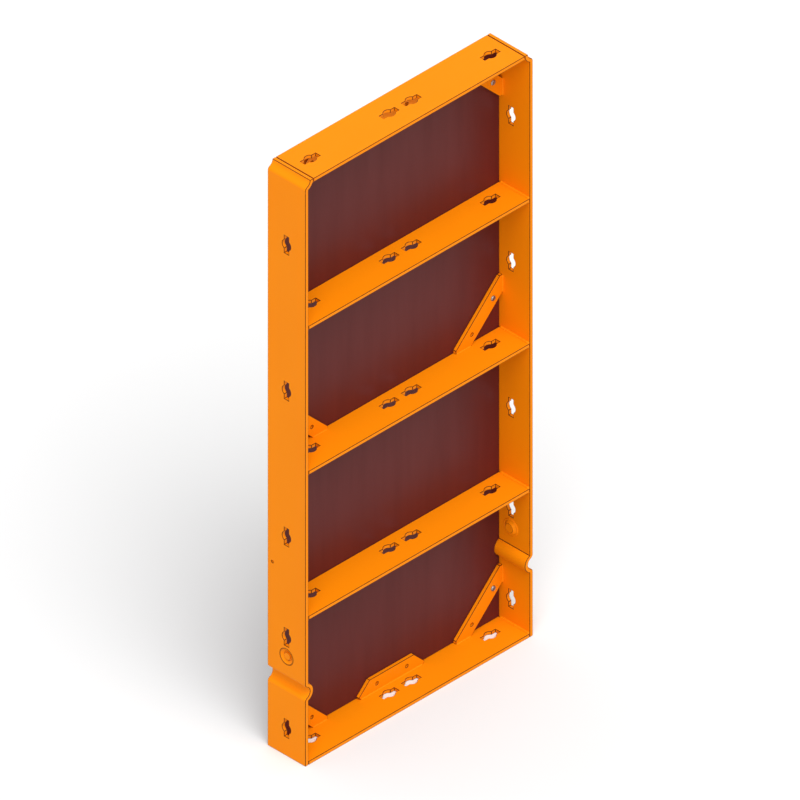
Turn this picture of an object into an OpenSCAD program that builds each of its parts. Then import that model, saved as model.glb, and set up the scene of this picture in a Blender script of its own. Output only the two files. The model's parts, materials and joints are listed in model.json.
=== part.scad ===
// Steel-framed formwork panel: two bent side stiles, end rails and cross ribs of flat bar
// carry a plywood sheet that shapes the concrete. The ribs are open to -Y, the sheet faces +Y.
// Units are millimetres. The origin is the middle of the footprint and +Z runs up the panel.

/* [Panel] */
// Overall width across the outer faces of the stiles
panel_w = 450; // [400:10:700]
// Overall height
panel_h = 1000; // [900:10:1400]
// Depth of the frame, from the open edge of the ribs to the concrete face
frame_d = 75; // [72:1:100]
// Thickness of the flat bar of the stiles, rails and ribs
bar_t = 6; // [5:0.5:8]

/* [Plywood] */
// Thickness of the plywood sheet
ply_t = 15; // [12:1:18]
// Width of the sealed joint between the sheet and the frame
joint_w = 1; // [0.5:0.25:2]
// Depth of the sealant, measured from the concrete face
seal_d = 5; // [3:0.5:10]

/* [Tie grooves] */
// Height of the groove's centre above the foot of the panel
groove_z = 125; // [112:1:145]
// Radius of the groove that the tie rod lies in
groove_r = 10; // [8:0.5:12]
// Depth of the groove below the stile's outer face
groove_depth = 9.5; // [6:0.5:10]
// Radius of the rounded shoulders above and below the groove
shoulder_r = 6.5; // [4:0.5:8]

/* [Key slots] */
// Diameter of the round hole in the middle of each slot
key_d = 17; // [14:0.5:20]
// Width of the slot
key_w = 9; // [6:0.5:12]
// Length of the slot, from end to end
key_l = 30; // [24:1:36]
// Distance of the slots' centre line from the open edge of the frame
key_y = 37.5; // [30:0.5:42]
// Distance from the panel's side to the outer slot of a rail or rib
key_edge = 47; // [42:1:60]
// Distance between the two slots in the middle of a rail or rib
key_pair = 44; // [40:1:60]
// Distance of the stile's two lowest slots from the groove's centre
key_groove = 78; // [74:1:82]

/* [Centring bushes] */
// Height of the bushes above the groove's centre
bush_rise = 45; // [40:1:48]
// Outer diameter of the bush, set in a hole of the stile
bush_d = 26; // [22:0.5:27]
// Radial clearance between the bush and its hole
bush_fit = 0.1; // [0.05:0.05:0.3]
// Width of the flat rim around the conical seat
bush_rim = 0.75; // [0.25:0.25:1.5]
// Depth of the conical seat in the stile's outer face
seat_depth = 3.75; // [1.5:0.25:4.5]
// Diameter of the seat's flat floor
seat_floor = 15; // [14:0.5:18]
// Diameter of the stub that stands on the seat's floor
stub_d = 11.5; // [8:0.5:12]
// How far the stub ends below the stile's outer face
stub_sink = 1.25; // [0.5:0.25:1.25]
// Height of the conical nose inside the frame
nose_h = 4; // [2:0.5:8]
// Diameter of the nose's flat tip
nose_tip = 14.5; // [10:0.5:18]

/* [Fixing plates] */
// Width of the flat bar that the fixing plates are cut from
plate_w = 25; // [20:1:30]
// Thickness of the fixing plates
plate_t = 6; // [4:0.5:8]
// Distance from the corner to the inner edge of a plate, along rail and stile
plate_near = 62; // [58:1:75]
// Length that is cut off a plate's two sharp tips, along its slanting ends
plate_chop = 5.4; // [3:0.2:9]
// Diameter of the plate's two holes
plate_hole = 5.3; // [5:0.1:6.5]
// Distance between the plate's two holes
plate_pitch = 59; // [50:1:66]

/* [Screws] */
// Diameter of the screw's shank
screw_d = 4.5; // [3.5:0.1:4.8]
// Depth that the screw reaches into the plywood
screw_bite = 12; // [8:0.5:14]
// Diameter of the screw's head
head_d = 8.5; // [7.5:0.1:10]
// Height of the screw's head
head_h = 2; // [1.5:0.1:3]
// Width of the slot in the screw's head
driver_w = 1.2; // [0.8:0.1:1.6]
// Depth of the slot in the screw's head
driver_d = 1; // [0.6:0.1:1.3]
// Radial clearance between the shank and its hole in the plywood
screw_fit = 0.1; // [0.05:0.05:0.2]

/* [Pilot hole] */
// Height of the small hole in the left-hand stile
pilot_z = 319; // [290:1:345]
// Distance of the small hole from the concrete face
pilot_y = 9.5; // [6:0.5:11]
// Diameter of the small hole
pilot_d = 4; // [3:0.5:5]

/* [Hidden] */

$fn = 96;
paint = "#ff7a0c";
ply_brown = "#66302f";
sealant = "#3a3634";
zinc = "#b9bcc0";

// Cutters reach this far past the material that they cut
over = 1;

// Levels and spans
bays = 4;
inner_w = panel_w - 2 * bar_t;
rib_d = frame_d - ply_t;
rib_pitch = (panel_h - bar_t) / bays;
bay_h = panel_h / bays;
upper_rib_z = 3 * rib_pitch;
middle_rib_z = 2 * rib_pitch;
lower_rib_z = rib_pitch;
middle_rib_top = middle_rib_z + bar_t;
top_rail_z = panel_h - bar_t;

// Groove outline: the shoulders' arcs run into the groove's arc, which has its centre at groove_x.
// The arcs overlap by a hair, so that they cross at a clean point.
arc_overlap = 0.01;
groove_x = groove_depth - groove_r;
arc_centres = groove_r + shoulder_r - arc_overlap;
groove_turn = acos((shoulder_r - groove_x) / arc_centres);
groove_half = arc_centres * sin(groove_turn);
end_wall = groove_depth + bar_t;

// Slot positions
key_x = [-panel_w / 2 + key_edge, -key_pair / 2, key_pair / 2, panel_w / 2 - key_edge];
key_z = [groove_z - key_groove, groove_z + key_groove, for (bay = [1 : bays - 1]) (bay + 0.5) * bay_h];
bush_z = groove_z + bush_rise;

// Plate outline: both edges run across the corner, plate_near and plate_far along rail and stile
plate_far = plate_near + plate_w * sqrt(2);
plate_foot = plate_far - plate_chop;
plate_mid = (plate_near + plate_far) / 4;
plate_y = rib_d - plate_t;
plate_step = plate_pitch / (2 * sqrt(2));

// Moves a shape drawn with y measured from the open edge into the panel's frame
module from_open_edge() {
    translate([0, -frame_d / 2, 0]) children();
}

// Extrudes an outline drawn in x and z along +Y, from y, over length
module along_y(y, length) {
    translate([0, y + length, 0]) rotate([90, 0, 0]) linear_extrude(length) children();
}

// Repeats a shape drawn for the left-hand side on the right-hand side
module mirrored_side() {
    mirror([1, 0, 0]) children();
}

// Puts a shape at the groove near the foot and at the half groove at the top end
module at_grooves() {
    for (z = [groove_z, panel_h]) translate([0, z]) children();
}

// Cutter for a groove, with x measured inwards from the stile's outer face
module groove_cut() {
    crossing = groove_r + over;
    crossing_x = groove_x + crossing * cos(groove_turn);
    crossing_z = crossing * sin(groove_turn);
    translate([groove_x, 0]) circle(groove_r);
    difference() {
        polygon([
            [-over, -groove_half], [0, -groove_half], [crossing_x, -crossing_z], [groove_x, 0],
            [crossing_x, crossing_z], [0, groove_half], [-over, groove_half]
        ]);
        for (side = [-1, 1]) translate([shoulder_r, side * groove_half]) circle(shoulder_r);
    }
}

// Back of the wall behind a groove, grown by gap
module groove_back(gap = 0) {
    translate([groove_x, 0]) circle(groove_r + bar_t + gap);
}

// Outline of a stile: a strip with a groove near its foot and half a groove at its top end
module stile_outline() {
    difference() {
        intersection() {
            union() {
                square([bar_t, panel_h]);
                at_grooves() groove_back();
            }
            square([end_wall + over, panel_h]);
        }
        at_grooves() groove_cut();
    }
}

// Cutter for a key slot: a slot along X through a round hole, cut along Z
module key_slot() {
    linear_extrude(bar_t + 2 * over, center = true) {
        circle(d = key_d);
        square([key_l, key_w], center = true);
    }
}

// Left-hand stile with its key slots and the hole for the bush
module stile() {
    from_open_edge() difference() {
        translate([-panel_w / 2, 0, 0]) along_y(0, frame_d) stile_outline();
        translate([-panel_w / 2 + bar_t / 2, key_y, 0]) {
            for (z = key_z) translate([0, 0, z]) rotate([0, 90, 0]) key_slot();
            translate([0, 0, bush_z]) rotate([0, 90, 0])
                cylinder(h = bar_t + 2 * over, r = bush_d / 2 + bush_fit, center = true);
        }
    }
}

module left_stile() {
    color(paint) difference() {
        stile();
        from_open_edge() translate([-panel_w / 2 - over, frame_d - pilot_y, pilot_z])
            rotate([0, 90, 0]) cylinder(h = bar_t + 2 * over, d = pilot_d);
    }
}

module right_stile() {
    color(paint) mirrored_side() stile();
}

// Flat bar lying across the panel with its four key slots
module cross_bar(length, depth, z) {
    color(paint) from_open_edge() translate([0, 0, z]) difference() {
        translate([-length / 2, 0, 0]) cube([length, depth, bar_t]);
        for (x = key_x) translate([x, key_y, bar_t / 2]) key_slot();
    }
}

module top_rail() {
    cross_bar(panel_w - 2 * end_wall, frame_d, top_rail_z);
}

module bottom_rail() {
    cross_bar(inner_w, frame_d, 0);
}

module rib(z) {
    cross_bar(inner_w, rib_d, z);
}

module upper_rib() { rib(upper_rib_z); }
module middle_rib() { rib(middle_rib_z); }
module lower_rib() { rib(lower_rib_z); }

// Inside of the frame less a gap all round, with x measured from the panel's middle
module inside_outline(gap) {
    difference() {
        translate([-inner_w / 2 + gap, bar_t + gap])
            square([inner_w - 2 * gap, panel_h - 2 * (bar_t + gap)]);
        for (side = [0, 1]) mirror([side, 0]) translate([-panel_w / 2, 0]) at_grooves() groove_back(gap);
    }
}

module plywood_sheet() {
    color(ply_brown) from_open_edge() difference() {
        along_y(rib_d, ply_t) inside_outline(joint_w);
        screw_places() translate([0, rib_d - over, 0]) rotate([-90, 0, 0])
            cylinder(h = screw_bite + over, r = screw_d / 2 + screw_fit);
    }
}

module edge_seal() {
    color(sealant) from_open_edge() along_y(frame_d - seal_d, seal_d) difference() {
        inside_outline(0);
        inside_outline(joint_w);
    }
}

// Conical seat in the bush's outer end, round its centre stub
module bush_seat() {
    difference() {
        union() {
            cylinder(h = seat_depth, d1 = bush_d - 2 * bush_rim, d2 = seat_floor);
            translate([0, 0, -over]) cylinder(h = over, d = bush_d - 2 * bush_rim);
        }
        translate([0, 0, stub_sink]) cylinder(h = seat_depth, d = stub_d);
    }
}

// Closed bush on the left-hand side: a conical seat and its stub outside, a conical nose inside
module bush() {
    color(paint) from_open_edge() translate([-panel_w / 2, key_y, bush_z]) rotate([0, 90, 0]) difference() {
        union() {
            cylinder(h = bar_t, d = bush_d);
            translate([0, 0, bar_t]) cylinder(h = nose_h, d1 = bush_d, d2 = nose_tip);
        }
        bush_seat();
    }
}

module left_bush() {
    bush();
}

module right_bush() {
    mirrored_side() bush();
}

// Outline and hole places of a plate across a corner: x from the stile, z from the rail
function plate_corners() = [
    [plate_near, 0], [plate_foot, 0], [plate_foot, plate_chop],
    [plate_chop, plate_foot], [0, plate_foot], [0, plate_near]
];
function plate_holes() = [
    [plate_mid + plate_step, plate_mid - plate_step],
    [plate_mid - plate_step, plate_mid + plate_step]
];

// The same point on a plate whose long edge lies on z = 0, centred on x = 0
function on_edge(p) = [(p[0] - p[1]) / sqrt(2), (plate_far - p[0] - p[1]) / sqrt(2)];

// Flat plate with its holes, its back on the plywood
module plate(corners, holes) {
    color(paint) from_open_edge() along_y(plate_y, plate_t) difference() {
        polygon(corners);
        for (hole = holes) translate(hole) circle(d = plate_hole);
    }
}

// Puts a shape drawn for the lower left corner above the level z of a rail or rib
module at_left(z) {
    translate([-inner_w / 2, 0, z]) children();
}

// Hangs it from the underside of the top rail instead
module under_top_left() {
    translate([-inner_w / 2, 0, top_rail_z]) mirror([0, 0, 1]) children();
}

module corner_plate() {
    plate(plate_corners(), plate_holes());
}

module centre_plate() {
    plate([for (p = plate_corners()) on_edge(p)], [for (p = plate_holes()) on_edge(p)]);
}

module bottom_left_plate() { at_left(bar_t) corner_plate(); }
module bottom_right_plate() { mirrored_side() bottom_left_plate(); }
module middle_left_plate() { at_left(middle_rib_top) corner_plate(); }
module middle_right_plate() { mirrored_side() middle_left_plate(); }
module top_left_plate() { under_top_left() corner_plate(); }
module top_right_plate() { mirrored_side() top_left_plate(); }

module bottom_centre_plate() { translate([0, 0, bar_t]) centre_plate(); }
module top_centre_plate() { translate([0, 0, top_rail_z]) mirror([0, 0, 1]) centre_plate(); }

// Wood screw through the hole next to the stile, its head on the plate's open side
module plate_screw() {
    hole = plate_holes()[1];
    color(zinc) from_open_edge() translate([hole[0], plate_y, hole[1]]) rotate([-90, 0, 0]) difference() {
        union() {
            translate([0, 0, -head_h / 2]) cylinder(h = head_h / 2, d = head_d);
            translate([0, 0, -head_h]) cylinder(h = head_h / 2, d1 = head_d - head_h, d2 = head_d);
            cylinder(h = plate_t + screw_bite, d = screw_d);
        }
        rotate([0, 0, 45]) translate([-head_d, -driver_w / 2, -head_h - over])
            cube([2 * head_d, driver_w, driver_d + over]);
    }
}

module bottom_left_screw() { at_left(bar_t) plate_screw(); }
module bottom_right_screw() { mirrored_side() bottom_left_screw(); }
module middle_left_screw() { at_left(middle_rib_top) plate_screw(); }
module middle_right_screw() { mirrored_side() middle_left_screw(); }
module top_left_screw() { under_top_left() plate_screw(); }
module top_right_screw() { mirrored_side() top_left_screw(); }

// Puts a shape at each of the six screws, on the plane of the open side
module screw_places() {
    hole = plate_holes()[1];
    for (side = [0, 1]) mirror([side, 0, 0]) {
        at_left(bar_t) translate([hole[0], 0, hole[1]]) children();
        at_left(middle_rib_top) translate([hole[0], 0, hole[1]]) children();
        under_top_left() translate([hole[0], 0, hole[1]]) children();
    }
}

left_stile();
right_stile();
top_rail();
bottom_rail();
upper_rib();
middle_rib();
lower_rib();
plywood_sheet();
edge_seal();
left_bush();
right_bush();
top_left_plate();
top_centre_plate();
top_right_plate();
middle_left_plate();
middle_right_plate();
bottom_left_plate();
bottom_centre_plate();
bottom_right_plate();
top_left_screw();
top_right_screw();
middle_left_screw();
middle_right_screw();
bottom_left_screw();
bottom_right_screw();
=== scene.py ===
# %% [markdown]
# # A steel-framed formwork panel
# Formwork panels are set up side by side and hold wet concrete until it is hard. This one is a
# welded frame of flat bar with a sheet of film-faced plywood let into its front. The frame comes
# ready made from the CAD model, in metres, and every finish and weld is added around it here.

# %% Load the panel
import json
from math import cos, pi, radians, sin

import bmesh
import bpy
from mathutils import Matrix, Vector


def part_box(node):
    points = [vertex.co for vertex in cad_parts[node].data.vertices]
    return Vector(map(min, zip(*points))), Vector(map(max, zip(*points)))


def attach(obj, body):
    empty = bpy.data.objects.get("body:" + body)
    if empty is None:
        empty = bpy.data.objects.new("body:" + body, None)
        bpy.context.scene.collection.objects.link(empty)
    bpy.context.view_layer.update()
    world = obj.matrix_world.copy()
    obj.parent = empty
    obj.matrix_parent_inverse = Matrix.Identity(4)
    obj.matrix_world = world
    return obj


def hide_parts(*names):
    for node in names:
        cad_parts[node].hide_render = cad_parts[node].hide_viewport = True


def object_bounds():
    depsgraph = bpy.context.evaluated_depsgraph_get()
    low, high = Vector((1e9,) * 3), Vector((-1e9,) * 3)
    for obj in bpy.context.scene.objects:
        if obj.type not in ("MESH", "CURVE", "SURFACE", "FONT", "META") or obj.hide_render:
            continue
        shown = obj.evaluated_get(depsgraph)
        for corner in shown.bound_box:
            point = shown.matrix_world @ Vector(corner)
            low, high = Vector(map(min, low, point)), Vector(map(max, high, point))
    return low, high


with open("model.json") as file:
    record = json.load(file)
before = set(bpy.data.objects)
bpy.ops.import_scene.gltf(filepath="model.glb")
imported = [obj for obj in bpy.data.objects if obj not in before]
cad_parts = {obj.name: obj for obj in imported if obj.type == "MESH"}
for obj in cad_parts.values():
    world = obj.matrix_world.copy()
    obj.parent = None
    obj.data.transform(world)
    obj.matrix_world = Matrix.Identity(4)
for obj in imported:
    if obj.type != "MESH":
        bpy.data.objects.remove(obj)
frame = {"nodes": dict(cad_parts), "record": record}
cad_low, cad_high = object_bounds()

MM = 0.001
centre = (cad_low + cad_high) / 2
print("nodes:", len(frame["nodes"]), "size in mm:", [round(s / MM, 1) for s in cad_high - cad_low])

# %% [markdown]
# ## The view
# A catalogue shows such a panel in isometric view, with all three directions drawn to one scale and
# parallel edges kept parallel. A perspective camera can't do that. An orthographic one can. It
# stands on the corner between the open side and the left-hand side and looks down the cube's
# diagonal.

# %% Camera
VIEW_WIDTH = 1.1191  # metres, as the next three are
VIEW_DISTANCE = 3.0
AIM_LEFT = 0.3 * MM
AIM_DOWN = 2.2 * MM


def put(name, data):
    """A new object with that mesh, light or camera, linked into the scene."""
    thing = bpy.data.objects.new(name, data)
    bpy.context.scene.collection.objects.link(thing)
    return thing


towards_camera = Vector((-1, -1, 1)).normalized()
right = Vector((1, -1, 0)).normalized()
up = towards_camera.cross(right)

camera_data = bpy.data.cameras.new("camera")
camera_data.type = "ORTHO"
camera_data.ortho_scale = VIEW_WIDTH
camera = put("camera", camera_data)
camera.location = centre - AIM_LEFT * right - AIM_DOWN * up + VIEW_DISTANCE * towards_camera
camera.rotation_euler = towards_camera.to_track_quat("Z", "Y").to_euler()
bpy.context.scene.camera = camera
bpy.context.scene.view_settings.view_transform = "Standard"
print("camera at", [round(c, 3) for c in camera.location], "up", [round(c, 3) for c in up])

# %% [markdown]
# ## Node trees in a few words
# Worlds, materials and modifiers are all node trees. Written out in full they are long lists of
# `new` and `link`, so a few helpers add a node and fill its inputs at once. An input is given
# either a number or another node's output, and `fill` sets the one and links the other.


# %% Helpers for node trees
def pick(sockets, name):
    """The socket in use with that name, since some nodes keep one for every data type."""
    return next(s for s in sockets if s.enabled and s.name == name)


def fill(tree, target, value):
    """Links an input to another node's output, or sets it."""
    if isinstance(value, bpy.types.NodeSocket):
        tree.links.new(value, target)
    else:
        target.default_value = value


def add(tree, kind, inputs=None, **properties):
    """A new node with its properties set and its inputs filled by name."""
    node = tree.nodes.new(kind)
    for name, value in properties.items():
        setattr(node, name, value)
    for name, value in (inputs or {}).items():
        fill(tree, pick(node.inputs, name), value)
    return node


def maths(tree, operation, *values):
    """The output of a Math node."""
    node = tree.nodes.new("ShaderNodeMath")
    node.operation = operation
    for target, value in zip(node.inputs, values):
        fill(tree, target, value)
    return node.outputs["Value"]


def give_sockets(tree, in_out, kinds):
    """Gives a node group its named inputs or outputs."""
    for name, kind in kinds.items():
        tree.interface.new_socket(name, in_out=in_out, socket_type="NodeSocket" + kind)


print("helpers:", ", ".join(f.__name__ for f in (pick, fill, add, maths, give_sockets)))

# %% [markdown]
# ## Light and floor
# Small lamps would leave hard spots on paint and film. An evenly white room does about half of the
# work here. A broad sun above the open side gives the ribs soft shadows and makes upward faces the
# lightest, and a weak one keeps the left-hand faces from going dull. Suns light the whole floor
# evenly, so the background has no bright patch.
#
# White surroundings also throw light back, and too much of it would wash out the paint. A Light
# Path node tells what the camera or a reflection sees from light that only bounces. So the room and
# the floor look whiter than the light that they give, and the floor still shows the panel's shadow.

# %% Room
ROOM_LIGHT = 0.60
ROOM_SEEN = 1.0
WHITE = (1, 1, 1, 1)


def two_levels(tree, bounced, seen):
    """The first number for light that bounces, the second for the camera and reflections."""
    ray = add(tree, "ShaderNodeLightPath").outputs
    direct = maths(tree, "MAXIMUM", ray["Is Camera Ray"], ray["Is Glossy Ray"])
    levels = add(tree, "ShaderNodeMapRange", {"Value": direct, "To Min": bounced, "To Max": seen})
    return levels.outputs["Result"]


world = bpy.data.worlds.new("studio")
world.use_nodes = True
bpy.context.scene.world = world
room_tree = world.node_tree
room_tree.nodes.clear()
room = add(room_tree, "ShaderNodeBackground", {
    "Color": WHITE, "Strength": two_levels(room_tree, ROOM_LIGHT, ROOM_SEEN)})
add(room_tree, "ShaderNodeOutputWorld", {"Surface": room.outputs["Background"]})
print("room gives", ROOM_LIGHT, "and is seen as", ROOM_SEEN)


# %% Suns
def sun(name, direction, level, softness):
    """A sun from that direction. At level 1 a white face turned to it renders white."""
    data = bpy.data.lights.new(name, "SUN")
    data.energy = level * pi
    data.angle = radians(softness)
    piece = put(name, data)
    piece.rotation_euler = Vector(direction).normalized().to_track_quat("Z", "Y").to_euler()
    print(name, level)


sun("key_sun", direction=(-0.24, -0.49, 0.95), level=0.77, softness=43)
sun("left_sun", direction=(-1.0, -0.60, 0.22), level=0.21, softness=50)

# %% Floor
FLOOR_HALF = 7.0
CORNER_SIGNS = ((-1, -1), (1, -1), (1, 1), (-1, 1))
floor_mesh = bpy.data.meshes.new("floor")
floor_mesh.from_pydata(
    [(x * FLOOR_HALF, y * FLOOR_HALF, cad_low.z) for x, y in CORNER_SIGNS], [], [(0, 1, 2, 3)])
floor = put("floor", floor_mesh)
print("floor at z =", round(cad_low.z, 4))

# %% Floor finish
FLOOR_BOUNCE = 0.60
FLOOR_SEEN = 0.83
FLOOR_ROUGHNESS = 0.9
pale = bpy.data.materials.new("pale_floor")
pale.use_nodes = True
pale_shader = pale.node_tree.nodes["Principled BSDF"]
fill(pale.node_tree, pale_shader.inputs["Base Color"],
     two_levels(pale.node_tree, FLOOR_BOUNCE, FLOOR_SEEN))
pale_shader.inputs["Roughness"].default_value = FLOOR_ROUGHNESS
pale_shader.inputs["Specular IOR Level"].default_value = 0.0
floor_mesh.materials.append(pale)
print("floor gives back", FLOOR_BOUNCE, "and is seen as", FLOOR_SEEN)

# %% [markdown]
# ## Finishes
# Four finishes cover the panel: orange powder coat on all steel, phenolic film on the plywood, zinc
# on the screws and sealant in the joint. None is perfectly even. Each has a slow drift of tone and
# gloss and a fine relief, only at other sizes, so one node group makes all three from the object's
# own coordinates, and each material sets its own values. Noise has no seams and no end, and it
# needs no image.

# %% Shader group for an uneven surface
DRIFT_DETAIL, DRIFT_ROUGHNESS = 3.0, 0.55
RELIEF_DETAIL, RELIEF_ROUGHNESS = 2.0, 0.5
uneven = bpy.data.node_groups.new("uneven_surface", "ShaderNodeTree")
give_sockets(uneven, "INPUT", {
    "Vector": "Vector", "Color": "Color", "Other Color": "Color", "Drift Scale": "Float",
    "Relief Scale": "Float", "Roughness": "Float", "Roughness Spread": "Float"})
give_sockets(uneven, "OUTPUT", {"Color": "Color", "Roughness": "Float", "Height": "Float"})

given = add(uneven, "NodeGroupInput").outputs
drift = add(uneven, "ShaderNodeTexNoise", {
    "Vector": given["Vector"], "Scale": given["Drift Scale"],
    "Detail": DRIFT_DETAIL, "Roughness": DRIFT_ROUGHNESS}).outputs["Fac"]
relief = add(uneven, "ShaderNodeTexNoise", {
    "Vector": given["Vector"], "Scale": given["Relief Scale"],
    "Detail": RELIEF_DETAIL, "Roughness": RELIEF_ROUGHNESS}).outputs["Fac"]
tone = add(uneven, "ShaderNodeMix", data_type="RGBA")
for socket, value in {"Factor": drift, "A": given["Color"], "B": given["Other Color"]}.items():
    fill(uneven, pick(tone.inputs, socket), value)
gloss = maths(uneven, "MULTIPLY_ADD", drift, given["Roughness Spread"], given["Roughness"])
add(uneven, "NodeGroupOutput", {
    "Color": pick(tone.outputs, "Result"), "Roughness": gloss, "Height": relief})
print("group", uneven.name, "has", len(uneven.nodes), "nodes")


# %% Helper for a finish
def finish(name, color, other_color, drift_scale, relief_scale, relief_depth,
           roughness, spread, stretch=(1, 1, 1), specular=0.5, metallic=0.0):
    """A material whose colour, gloss and relief come from the uneven surface."""
    material = bpy.data.materials.new(name)
    material.use_nodes = True
    tree = material.node_tree
    place = add(tree, "ShaderNodeTexCoord").outputs["Object"]
    scaled = add(tree, "ShaderNodeMapping", {"Vector": place, "Scale": stretch})
    group = add(tree, "ShaderNodeGroup", {
        "Vector": scaled.outputs["Vector"], "Color": color, "Other Color": other_color,
        "Drift Scale": drift_scale, "Relief Scale": relief_scale,
        "Roughness": roughness, "Roughness Spread": spread}, node_tree=uneven)
    bump = add(tree, "ShaderNodeBump", {
        "Height": group.outputs["Height"], "Distance": relief_depth, "Strength": 1.0})
    shader = tree.nodes["Principled BSDF"]
    for socket, value in {
        "Base Color": group.outputs["Color"], "Roughness": group.outputs["Roughness"],
        "Normal": bump.outputs["Normal"], "Specular IOR Level": specular, "Metallic": metallic,
    }.items():
        fill(tree, shader.inputs[socket], value)
    print("finish", name)
    return material


# %% [markdown]
# ### Powder coat
# Powder is sprayed on dry and melts into one thick skin. It never flows quite flat, which leaves
# the faint ripple called orange peel, a millimetre or two across, and a soft half gloss. As a mesh,
# a ripple that fine would take millions of faces, and a Bump node shows it with none.

# %% Powder coat
paint = finish(
    "orange_powder_coat", color=(0.93, 0.265, 0.002, 1), other_color=(0.90, 0.240, 0.002, 1),
    drift_scale=9.0, relief_scale=620.0, relief_depth=0.03 * MM,
    roughness=0.38, spread=0.10, specular=0.06)

# %% [markdown]
# ### Thin coat on the edges
# While it is liquid, powder coat draws back from sharp edges, and the dark steel shows through the
# thin coat there as a fine line. A Bevel node could find the edges in the shader, but it costs many
# rays and can't be told which edges count. Here the faces of the eased edges, further down, carry
# an attribute called thin_coat instead, and the relief of the paint makes the line patchy.

# %% Dark steel under the thin coat
STEEL_SHOWING = (0.13, 0.034, 0.004, 1)
LEAST_SHOWING = 0.5
paint_tree = paint.node_tree
paint_shader = paint_tree.nodes["Principled BSDF"]
coat = paint_shader.inputs["Base Color"].links[0].from_node.outputs
thin = add(paint_tree, "ShaderNodeAttribute", attribute_name="thin_coat").outputs["Fac"]
patchy = maths(paint_tree, "ADD", coat["Height"], LEAST_SHOWING)
share = maths(paint_tree, "MULTIPLY", thin, patchy)
edge_tone = add(paint_tree, "ShaderNodeMix", data_type="RGBA")
for socket, value in {"Factor": share, "A": coat["Color"], "B": STEEL_SHOWING}.items():
    fill(paint_tree, pick(edge_tone.inputs, socket), value)
fill(paint_tree, paint_shader.inputs["Base Color"], pick(edge_tone.outputs, "Result"))
print("material", paint.name, "has", len(paint_tree.nodes), "nodes")

# %% [markdown]
# ### Film-faced plywood
# The sheet is pressed between two films of paper soaked in phenolic resin. The film is smooth and
# dark red-brown, and the long grain of the veneer under it shows through as a faint upright relief.
# The same uneven surface makes that grain when its pattern is stretched ten times upwards.

# %% Phenolic film
UPRIGHT_GRAIN = (1, 1, 0.10)
film = finish(
    "phenolic_film", color=(0.120, 0.0178, 0.0167, 1), other_color=(0.082, 0.0112, 0.0106, 1),
    drift_scale=45.0, relief_scale=170.0, relief_depth=0.06 * MM,
    roughness=0.36, spread=0.14, stretch=UPRIGHT_GRAIN, specular=0.17)

# %% [markdown]
# ### Zinc and sealant
# The screws are zinc plated, which is a bright metal with a dull bloom. The sealant is matt and
# dark. Both show only in small places, so the uneven surface alone is detail enough.

# %% Zinc plate and sealant
zinc = finish(
    "zinc_plate", color=(0.40, 0.40, 0.41, 1), other_color=(0.27, 0.27, 0.28, 1),
    drift_scale=260.0, relief_scale=900.0, relief_depth=0.01 * MM,
    roughness=0.30, spread=0.20, metallic=1.0)
seal = finish(
    "joint_sealant", color=(0.045, 0.040, 0.036, 1), other_color=(0.030, 0.027, 0.025, 1),
    drift_scale=40.0, relief_scale=300.0, relief_depth=0.08 * MM,
    roughness=0.62, spread=0.15, specular=0.3)

# %% [markdown]
# ### A finish for every piece
# The CAD model names a material slot for each piece, as a parts list names its finish. So no list
# of pieces is written here, and each one looks up its own.

# %% Give each CAD piece its finish
slot_of = {entry["node"]: entry["material_slot"] for entry in frame["record"]["subparts"]}
finish_of = {
    "orange_paint": paint, "film_faced_plywood": film, "zinc_plate": zinc, "sealant": seal}
for node, piece in frame["nodes"].items():
    piece.data.materials.clear()
    piece.data.materials.append(finish_of[slot_of[node]])
print("pieces:", {slot: list(slot_of.values()).count(slot) for slot in finish_of})

# %% [markdown]
# ## Eased edges
# Sheared and rolled flat bar has no knife edges, but the CAD bars are sharp. Their own meshes stay
# as they are. A copy of each has its vertices merged and its flat faces joined, and a Bevel
# modifier then rounds every real edge by less than a millimetre. The turned bushes have narrow
# steps, which take only a third of that.
#
# A bar is also cut a little short, so that it drops in between the stiles before it is welded. The
# narrow gap stays open where no weld reaches it, so the copies of the rails and ribs are drawn in
# from their ends.

# %% Copy a bar and cut it short
MERGE = 0.001 * MM
FLAT_ANGLE = 0.005  # radians
JOINT_GAP = 0.9 * MM


def joined_copy(node):
    """A mesh of the node with whole faces for its loose triangles, and a cross bar cut short."""
    shape = bmesh.new()
    shape.from_mesh(frame["nodes"][node].data)
    bmesh.ops.remove_doubles(shape, verts=shape.verts, dist=MERGE)
    bmesh.ops.dissolve_limit(shape, angle_limit=FLAT_ANGLE, verts=shape.verts, edges=shape.edges)
    if node.endswith(("_rail", "_rib")):
        low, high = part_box(node)
        for corner in shape.verts:
            for end, inward in ((low.x, 1), (high.x, -1)):
                if abs(corner.co.x - end) < MERGE:
                    corner.co.x += inward * JOINT_GAP
    mesh = bpy.data.meshes.new(node + "_eased")
    shape.to_mesh(mesh)
    shape.free()
    stored = mesh.attributes.get("custom_normal")
    if stored is not None:
        mesh.attributes.remove(stored)
    return mesh


bars = [n for n in frame["nodes"] if n.endswith(("_stile", "_rail", "_rib", "_plate", "_bush"))]
print("steel pieces to copy:", len(bars))

# %% [markdown]
# ### Marking the edges for the paint
# The modifier can give the faces that it makes a material slot of their own. The script reads that
# slot from the finished mesh, turns it into the attribute thin_coat and takes the slot away again.

# %% Round the edges
EDGE_RADIUS = 0.8 * MM
TURNED_EDGE_RADIUS = 0.25 * MM
EDGE_ANGLE = 0.45  # radians
EDGE_SEGMENTS = 2
FLAT_FACES, ROUNDED_EDGES = 0, 1


def made_by_modifiers(piece):
    """A plain mesh of the piece as its modifiers make it. They are removed."""
    graph = bpy.context.evaluated_depsgraph_get()
    solid = bpy.data.meshes.new_from_object(piece.evaluated_get(graph))
    piece.modifiers.clear()
    return solid


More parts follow.
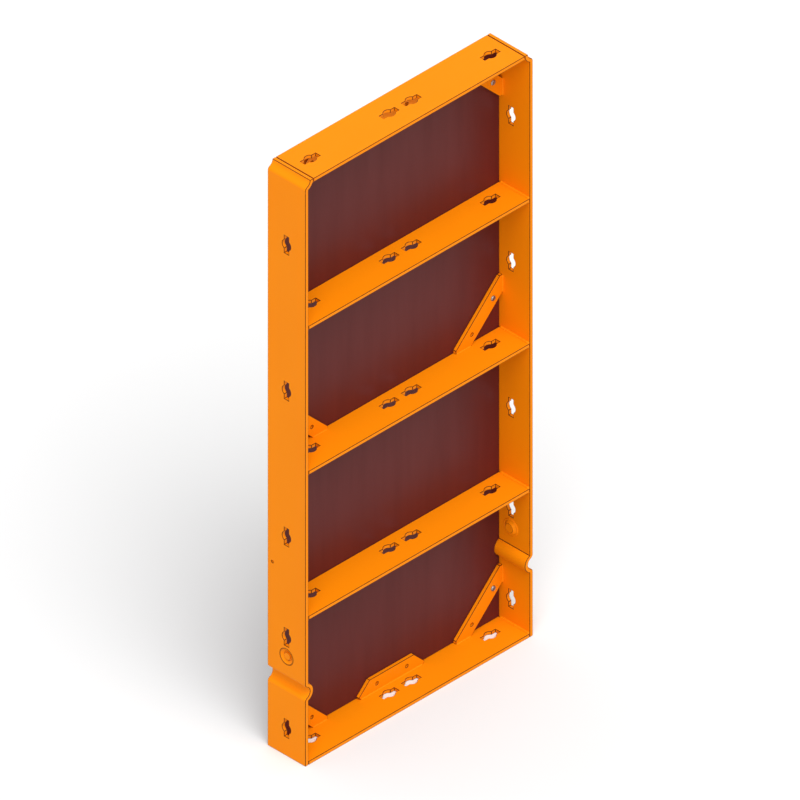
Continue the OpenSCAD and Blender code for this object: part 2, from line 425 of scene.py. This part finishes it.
def use_first_slot(mesh):
    """Puts every face into the mesh's first material slot."""
    mesh.polygons.foreach_set("material_index", [0] * len(mesh.polygons))


def round_edges(piece, radius):
    """Rounds the piece's sharp edges and marks the new faces with the attribute thin_coat."""
    use_first_slot(piece.data)
    piece.data.shade_smooth()
    bevel = piece.modifiers.new("edge", "BEVEL")
    bevel.width = radius
    bevel.segments = EDGE_SEGMENTS
    bevel.limit_method = "ANGLE"
    bevel.angle_limit = EDGE_ANGLE
    bevel.use_clamp_overlap = False
    bevel.loop_slide = False
    bevel.harden_normals = True
    bevel.material = ROUNDED_EDGES
    solid = made_by_modifiers(piece)
    rounded = [float(face.material_index) for face in solid.polygons]
    solid.attributes.new("thin_coat", "FLOAT", "FACE").data.foreach_set("value", rounded)
    use_first_slot(solid)
    solid.materials.pop()
    piece.data = solid


# %% Ease every steel piece
def eased_copy(node):
    """A copy of a CAD node with rounded edges, which stands for the node."""
    mesh = joined_copy(node)
    mesh.materials.clear()
    for _ in (FLAT_FACES, ROUNDED_EDGES):
        mesh.materials.append(finish_of[slot_of[node]])
    piece = put(node + "_eased", mesh)
    round_edges(piece, TURNED_EDGE_RADIUS if node.endswith("_bush") else EDGE_RADIUS)
    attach(piece, "root")
    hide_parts(node)
    return len(piece.data.polygons)


bpy.context.view_layer.update()
print("faces of the eased pieces:", {node: eased_copy(node) for node in bars})

# %% [markdown]
# ## Welds
# The bars, plates and bushes are welded together. A hand-laid fillet weld looks like a row of small
# overlapping drops, because the welder feeds the wire in steps. Geometry Nodes suit that: a mesh of
# seam lines goes in, each line is divided into equal steps, and a drop longer than the step is set
# on each one, turned along the seam and out of the corner and leaning a little, as frozen ripples
# do. The paint goes over the welds as well.

# %% Seam lines
weld_points, weld_edges, weld_out = [], [], []


def seam(places, outward, closed=False):
    """Adds one seam through the places, each with a direction that points out of the corner."""
    first = len(weld_points)
    weld_points.extend(places)
    weld_out.extend(Vector(direction).normalized() for direction in outward)
    weld_edges.extend((first + k, first + k + 1) for k in range(len(places) - 1))
    if closed:
        weld_edges.append((len(weld_points) - 1, first))


def take_seams(name):
    """A mesh object of the seams collected so far, which are then forgotten."""
    mesh = bpy.data.meshes.new(name)
    mesh.from_pydata(weld_points, weld_edges, [])
    directions = mesh.attributes.new("outward", "FLOAT_VECTOR", "POINT")
    directions.data.foreach_set("vector", [c for v in weld_out for c in v])
    print(name, "points:", len(weld_points), "edges:", len(weld_edges))
    for collected in (weld_points, weld_edges, weld_out):
        collected.clear()
    return put(name, mesh)


# %% Weld tree: where each drop goes
LEAST_LEAN = 0.7
welds = bpy.data.node_groups.new("weld_beads", "GeometryNodeTree")
give_sockets(welds, "INPUT", {
    "Seams": "Geometry", "Leg": "Float", "Pitch": "Float", "Tilt": "Float", "Seed": "Int",
    "Finish": "Material"})
give_sockets(welds, "OUTPUT", {"Beads": "Geometry"})

asked = add(welds, "NodeGroupInput").outputs
lines = add(welds, "GeometryNodeMeshToCurve", {"Mesh": asked["Seams"]})
steps = add(welds, "GeometryNodeResampleCurve", {
    "Curve": lines.outputs["Curve"], "Length": asked["Pitch"]}, mode="LENGTH")
along = add(welds, "FunctionNodeAlignRotationToVector", {
    "Vector": add(welds, "GeometryNodeInputTangent").outputs["Tangent"]}, axis="X")
out = add(welds, "GeometryNodeInputNamedAttribute", {"Name": "outward"}, data_type="FLOAT_VECTOR")
turned = add(welds, "FunctionNodeAlignRotationToVector", {
    "Rotation": along.outputs["Rotation"], "Vector": pick(out.outputs, "Attribute")},
    axis="Z", pivot_axis="X")
lean = add(welds, "FunctionNodeRandomValue", {
    "Min": maths(welds, "MULTIPLY", asked["Tilt"], LEAST_LEAN), "Max": asked["Tilt"],
    "Seed": asked["Seed"]}, data_type="FLOAT")
lean_angles = add(welds, "ShaderNodeCombineXYZ", {"Y": pick(lean.outputs, "Value")})
lean_turn = add(welds, "FunctionNodeEulerToRotation", {"Euler": lean_angles.outputs["Vector"]})
placed = add(welds, "FunctionNodeRotateRotation", {
    "Rotation": turned.outputs["Rotation"], "Rotate By": lean_turn.outputs["Rotation"]},
    rotation_space="LOCAL")
print("tree", welds.name, "has", len(welds.nodes), "nodes that place the drops")

# %% Weld tree: the drops themselves
DROP_OVERLAP = 1.5
DROP_SMALLEST, DROP_LARGEST = 0.92, 1.06
DROP_SEGMENTS, DROP_RINGS = 10, 6
size = add(welds, "FunctionNodeRandomValue", {
    "Min": DROP_SMALLEST, "Max": DROP_LARGEST,
    "Seed": maths(welds, "ADD", asked["Seed"], 1.0)}, data_type="FLOAT")
drop_width = maths(welds, "MULTIPLY", asked["Leg"], pick(size.outputs, "Value"))
drop_length = maths(welds, "MULTIPLY", asked["Pitch"], DROP_OVERLAP)
drop_size = add(welds, "ShaderNodeCombineXYZ", {
    "X": drop_length, "Y": drop_width, "Z": drop_width})
drop = add(welds, "GeometryNodeMeshUVSphere", {
    "Segments": DROP_SEGMENTS, "Rings": DROP_RINGS, "Radius": 1.0})
smooth = add(welds, "GeometryNodeSetShadeSmooth", {"Geometry": drop.outputs["Mesh"]})
row = add(welds, "GeometryNodeInstanceOnPoints", {
    "Points": steps.outputs["Curve"], "Instance": smooth.outputs["Geometry"],
    "Rotation": placed.outputs["Rotation"], "Scale": drop_size.outputs["Vector"]})
real = add(welds, "GeometryNodeRealizeInstances", {"Geometry": row.outputs["Instances"]})
coated = add(welds, "GeometryNodeSetMaterial", {
    "Geometry": real.outputs["Geometry"], "Material": asked["Finish"]})
add(welds, "NodeGroupOutput", {"Beads": coated.outputs["Geometry"]})
print("tree", welds.name, "has", len(welds.nodes), "nodes in all")

# %% Helper that lays the beads
WELD_TILT = 20.0  # degrees


def lay_welds(name, leg, pitch, seed):
    """Turns the seams collected so far into one mesh of painted weld beads."""
    piece = take_seams(name)
    modifier = piece.modifiers.new("welds", "NODES")
    modifier.node_group = welds
    wanted = {"Leg": leg, "Pitch": pitch, "Tilt": radians(WELD_TILT), "Seed": seed, "Finish": paint}
    for item in welds.interface.items_tree:
        if item.in_out == "INPUT" and item.name in wanted:
            modifier[item.identifier] = wanted[item.name]
    bpy.context.view_layer.update()
    solid = made_by_modifiers(piece)
    solid.materials.clear()
    solid.materials.append(paint)
    use_first_slot(solid)
    piece.data = solid
    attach(piece, "root")
    print(name, "faces:", len(solid.polygons))


# %% [markdown]
# ### Where the seams run
# Every place is measured on the CAD pieces. The ribs are welded to the stiles above and below, but
# the rails only on their inner faces, because other panels lie against the outer ones. Each of
# these seams stops short of the open edge and of the plywood. A plate is welded where its foot
# meets a bar, and a bush all the way round on the inside of its stile.

# %% Welds of the ribs and rails on the stiles
BELOW, ABOVE = -1, 1
SEAM_END = 4.0 * MM
ply_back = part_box("plywood_sheet")[0].y
cross_bars = {
    "upper_rib": (BELOW, ABOVE), "middle_rib": (BELOW, ABOVE), "lower_rib": (BELOW, ABOVE),
    "top_rail": (BELOW,), "bottom_rail": (ABOVE,)}
for node, faces in cross_bars.items():
    low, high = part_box(node)
    for face in faces:
        z = high.z if face == ABOVE else low.z
        for x, side in ((low.x, 1), (high.x, -1)):
            ends = [Vector((x, low.y + SEAM_END, z)), Vector((x, ply_back - SEAM_END, z))]
            seam(ends, [(side, 0, face)] * 2)
lay_welds("frame_welds", leg=2.6 * MM, pitch=2.2 * MM, seed=3)

# %% Helper that finds a plate's foot
X, Z = 0, 2
TOUCH = 0.05 * MM


def foot_on(node, axis, level, across):
    """The ends, along the axis across, of the node's flat foot at that level of the other axis."""
    corners = (v.co for v in frame["nodes"][node].data.vertices)
    places = [corner[across] for corner in corners if abs(corner[axis] - level) < TOUCH]
    return min(places), max(places)


stile_faces = [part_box("bottom_rail")[k].x for k in (0, 1)]
rail_faces = [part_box(bar)[k].z for bar in cross_bars for k in (0, 1)]
print("faces that a plate may stand on:", len(stile_faces) + len(rail_faces))

# %% Welds of the fixing plates
PLATE_SEAM_END = 3.0 * MM
for node in [n for n in frame["nodes"] if n.endswith("_plate")]:
    low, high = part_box(node)
    for axis, across, bar_faces in ((X, Z, stile_faces), (Z, X, rail_faces)):
        for level, side in ((low[axis], 1), (high[axis], -1)):
            if any(abs(level - face) < TOUCH for face in bar_faces):
                first, last = foot_on(node, axis, level, across)
                ends = [Vector((level, low.y, place) if axis == X else (place, low.y, level))
                        for place in (first + PLATE_SEAM_END, last - PLATE_SEAM_END)]
                seam(ends, [(side, -1, 0) if axis == X else (0, -1, side)] * 2)
lay_welds("plate_welds", leg=2.0 * MM, pitch=1.9 * MM, seed=11)

# %% Welds round the bushes
RING_STEPS = 64
for node, x, side in (("left_bush", stile_faces[0], 1), ("right_bush", stile_faces[1], -1)):
    low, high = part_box(node)
    middle = (low + high) / 2
    radius = (high.z - low.z) / 2
    turns = (2 * pi * k / RING_STEPS for k in range(RING_STEPS))
    spokes = [Vector((0, cos(turn), sin(turn))) for turn in turns]
    seam([Vector((x, middle.y, middle.z)) + radius * spoke for spoke in spokes],
         [spoke + Vector((side, 0, 0)) for spoke in spokes], closed=True)
lay_welds("bush_welds", leg=1.3 * MM, pitch=1.3 * MM, seed=17)
